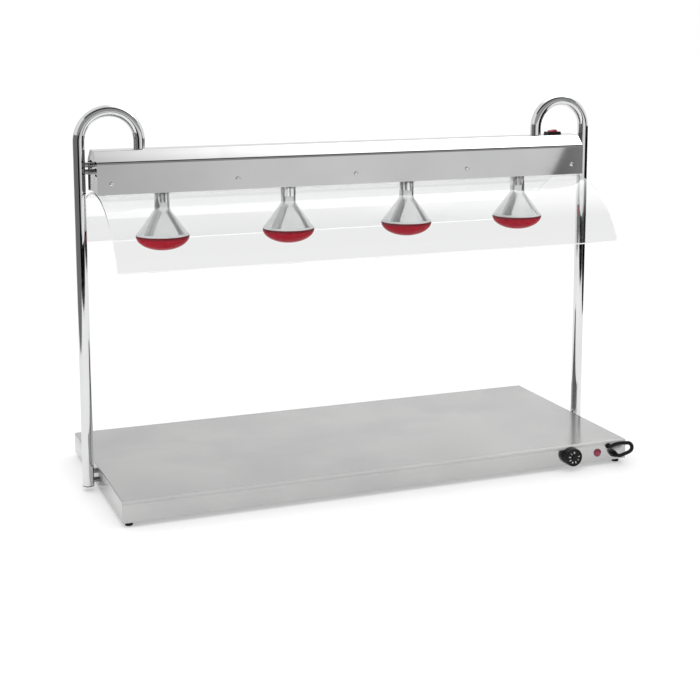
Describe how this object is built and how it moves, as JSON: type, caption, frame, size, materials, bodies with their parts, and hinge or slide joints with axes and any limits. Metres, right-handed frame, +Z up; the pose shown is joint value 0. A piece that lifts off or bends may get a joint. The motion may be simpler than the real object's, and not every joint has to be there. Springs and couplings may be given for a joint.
{
  "type": "heated holding plate",
  "caption": "Free-standing heated holding plate with a bridge of infrared lamps on crooked posts, a clear arched guard under the lamp bar, a thermostat knob and a rocker switch.",
  "frame": {"origin": "on the table, under the middle of the whole footprint, with the knob counted in", "axes": "+X to the right along the plate, +Y to the back, +Z up"},
  "size_m": [1.3358, 0.5919, 0.9014],
  "materials": {
    "pan_steel": "satin",
    "bar_steel": "satin",
    "tube_chrome": "polished",
    "zinc_steel": "plain",
    "aluminium": "mill",
    "silicone_mat": "matt",
    "insulation": "fibrous board",
    "black_plastic": "satin",
    "white_plastic": "matt",
    "copper": "plain",
    "red_lens": "gloss",
    "red_rocker": "gloss",
    "black_rubber": "matt",
    "clear_acrylic": "clear polished",
    "silvered_glass": "silvered inside",
    "ruby_glass": "deep red",
    "ceramic": "plain",
    "brass_cap": "plain"
  },
  "bodies": {
    "plate": {"bar_cap_left": "bar_steel", "bar_cap_right": "bar_steel", "bar_screws": "zinc_steel", "bar_shell": "bar_steel", "bar_spacers": "zinc_steel", "bar_studs": "zinc_steel", "base_pan": "pan_steel", "base_spacers": "zinc_steel", "base_studs": "zinc_steel", "bottom_cover": "pan_steel", "cover_screws": "zinc_steel", "end_plate_left": "zinc_steel", "end_plate_right": "zinc_steel", "foot_front_left": "black_rubber", "foot_front_right": "black_rubber", "foot_rear_left": "black_rubber", "foot_rear_right": "black_rubber", "foot_screws": "zinc_steel", "guard": "clear_acrylic", "guard_nuts": "zinc_steel", "guard_screws": "zinc_steel", "heat_spreader": "aluminium", "heating_mat_left": "silicone_mat", "heating_mat_right": "silicone_mat", "holder_rail": "zinc_steel", "insulation_board": "insulation", "lamp_caps": "brass_cap", "lamp_front_1": "ruby_glass", "lamp_front_2": "ruby_glass", "lamp_front_3": "ruby_glass", "lamp_front_4": "ruby_glass", "lamp_harness": "black_rubber", "lamp_reflector_1": "silvered_glass", "lamp_reflector_2": "silvered_glass", "lamp_reflector_3": "silvered_glass", "lamp_reflector_4": "silvered_glass", "lamp_tray": "bar_steel", "lampholder_1": "ceramic", "lampholder_2": "ceramic", "lampholder_3": "ceramic", "lampholder_4": "ceramic", "lead_gland": "black_plastic", "lead_grommet": "black_rubber", "link_lead": "black_rubber", "pilot_body": "black_plastic", "pilot_lens": "red_lens", "post_left": "tube_chrome", "post_plug_left": "black_plastic", "post_plug_right": "black_plastic", "post_right": "tube_chrome", "stiffener_front": "zinc_steel", "stiffener_rear": "zinc_steel", "stud_nuts": "zinc_steel", "switch_frame": "black_plastic", "terminal_block": "white_plastic", "thermostat_body": "black_plastic", "thermostat_sensor": "copper"},
    "knob": {"thermostat_knob": "black_plastic", "thermostat_spindle": "zinc_steel"},
    "rocker": {"switch_rocker": "red_rocker"}
  },
  "joints": [
    {"name": "thermostat_turn", "type": "hinge", "parent": "plate", "child": "knob", "pos_m": [0.475, -0.2685, 0.036], "axis": [0, 1, 0], "range_deg": [0, 280]},
    {"name": "switch_rock", "type": "hinge", "parent": "plate", "child": "rocker", "pos_m": [0.565, 0.0115, 0.8046], "axis": [0, 1, 0], "range_deg": [0, 16]}
  ]
}
